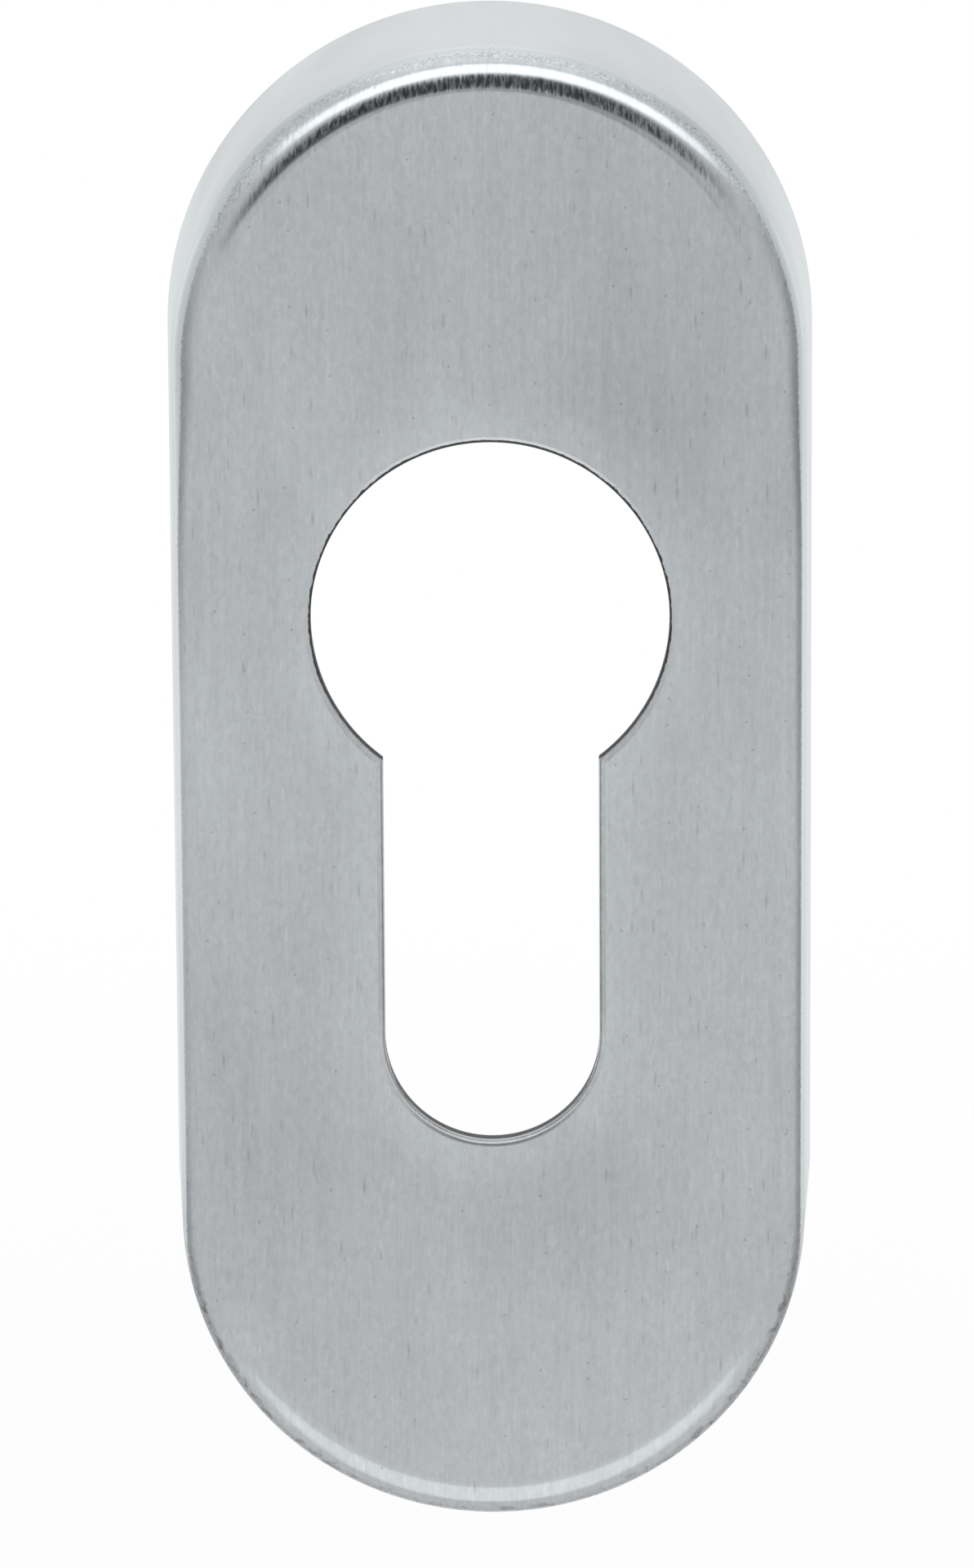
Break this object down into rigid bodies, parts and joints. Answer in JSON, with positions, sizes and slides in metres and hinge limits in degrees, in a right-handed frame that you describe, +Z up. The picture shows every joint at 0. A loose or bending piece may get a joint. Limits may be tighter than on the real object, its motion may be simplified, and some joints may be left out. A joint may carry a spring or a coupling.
{
  "type": "cylinder escutcheon",
  "caption": "Oval drawn-sheet escutcheon cap with a flat brushed face, flared walls, an open back and a keyhole opening that frames the end of a profile lock cylinder.",
  "frame": {"origin": "where the axis of the lock cylinder meets the door's surface, in the plane of the back rim", "axes": "+Z up along the oval with the keyhole's round head uppermost, +Y from the front face into the door, +X to the right seen from the front"},
  "size_m": [0.032, 0.014, 0.0744],
  "materials": {
    "satin_steel": "satin, brushed along its length on the face, smoother on the walls"
  },
  "bodies": {
    "root": {"escutcheon": "satin_steel"}
  },
  "joints": []
}
